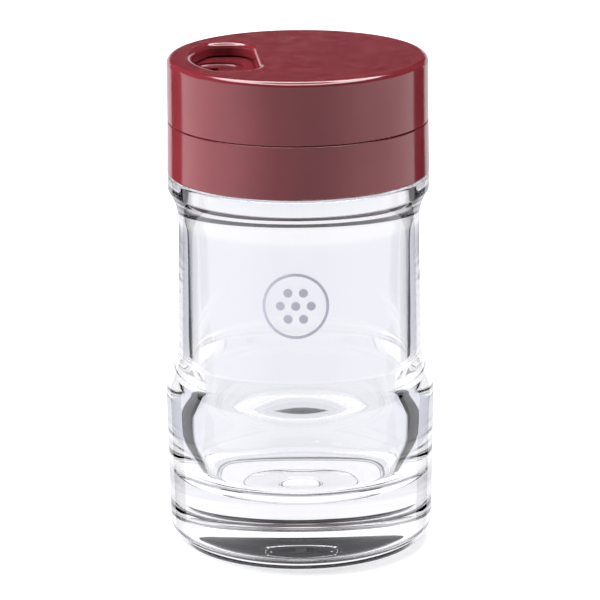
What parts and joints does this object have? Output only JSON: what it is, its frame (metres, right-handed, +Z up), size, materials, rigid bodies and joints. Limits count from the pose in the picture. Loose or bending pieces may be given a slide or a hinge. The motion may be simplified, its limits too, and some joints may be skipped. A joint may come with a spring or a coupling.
{
  "type": "spice shaker dispenser",
  "caption": "Table spice shaker: clear waisted jar with a heavy base, screw-on maroon cap, and a turning top whose oval opening picks sifting holes, a pouring slot or closed.",
  "frame": {"origin": "centre of the foot, on the table", "axes": "+Z up along the jar's axis; the cover's opening is towards -X at rest, and the jar's printed front would face -Y"},
  "size_m": [0.0516, 0.0516, 0.0956],
  "materials": {
    "clear_jar": "clear, polished",
    "seal": "soft, natural white",
    "collar_plastic": "gloss",
    "disc_plastic": "gloss",
    "cover_plastic": "gloss"
  },
  "bodies": {
    "jar": {"jar": "clear_jar"},
    "seal": {"seal_ring": "seal"},
    "collar": {"screw_collar": "collar_plastic", "sifter_disc": "disc_plastic"},
    "cover": {"turn_cover": "cover_plastic"}
  },
  "joints": [
    {"name": "cap_lift", "type": "slide", "parent": "jar", "child": "seal", "axis": [0, 0, 1], "range_m": [0, 0.008]},
    {"name": "cap_turn", "type": "hinge", "parent": "seal", "child": "collar", "pos_m": [0, 0, 0.0772], "axis": [0, 0, 1], "range_deg": [0, 720]},
    {"name": "cover_turn", "type": "hinge", "parent": "collar", "child": "cover", "pos_m": [0, 0, 0.0877], "axis": [0, 0, 1], "range_deg": [-90, 90]}
  ],
  "couplings": [
    {"joint": "cap_lift", "follows": "cap_turn", "m_per_rad": 0.00063662}
  ]
}
